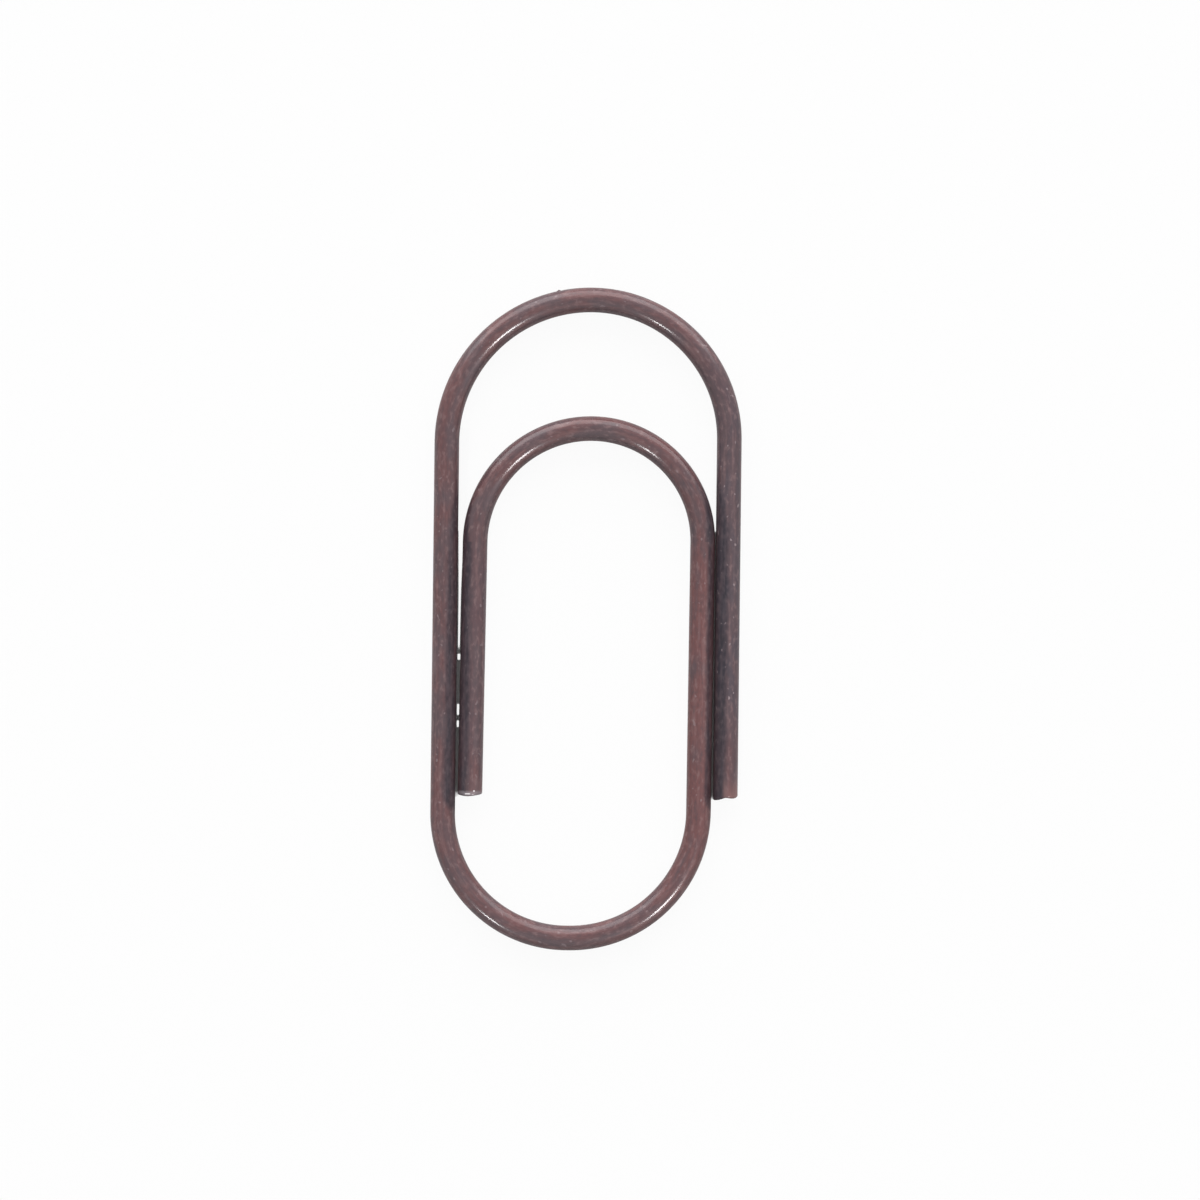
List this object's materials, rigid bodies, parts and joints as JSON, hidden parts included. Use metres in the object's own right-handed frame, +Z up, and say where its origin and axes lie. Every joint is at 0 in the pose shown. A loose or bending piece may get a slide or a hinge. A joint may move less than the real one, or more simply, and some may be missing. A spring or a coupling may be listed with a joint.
{
  "type": "paper clip",
  "caption": "Small double-loop paper clip bent from one round brown steel wire, its tongue and free legs springing apart to grip sheets of paper.",
  "frame": {"origin": "middle of the clip's footprint, on the table that it lies on", "axes": "+X across the clip from the long leg to the outer free leg, +Y along the clip towards the outer bow, +Z up off the table"},
  "size_m": [0.007, 0.015, 0.0006],
  "materials": {
    "wire": "satin"
  },
  "bodies": {
    "outer_loop": {"outer_bow_left": "wire", "long_leg": "wire", "lower_bow_left": "wire"},
    "outer_arm": {"outer_bow_right": "wire", "outer_free_leg": "wire"},
    "tongue": {"lower_bow_right": "wire", "tongue_leg": "wire", "tongue_bow_right": "wire"},
    "tongue_arm": {"tongue_bow_left": "wire", "tongue_free_leg": "wire"}
  },
  "joints": [
    {"name": "tongue_lift", "type": "hinge", "parent": "outer_loop", "child": "tongue", "pos_m": [-0.0003, -0.00722, 0.00028], "axis": [1, 0, 0], "range_deg": [-10, 10], "stiffness_Nm_per_rad": 0.069},
    {"name": "outer_arm_flex", "type": "hinge", "parent": "outer_loop", "child": "outer_arm", "pos_m": [0.00006, 0.00722, 0.00028], "axis": [-1, 0, 0], "range_deg": [-8, 8], "stiffness_Nm_per_rad": 0.079},
    {"name": "tongue_arm_flex", "type": "hinge", "parent": "tongue", "child": "tongue_arm", "pos_m": [0.00009, 0.00431, 0.00028], "axis": [-1, 0, 0], "range_deg": [-6, 6], "stiffness_Nm_per_rad": 0.099}
  ]
}
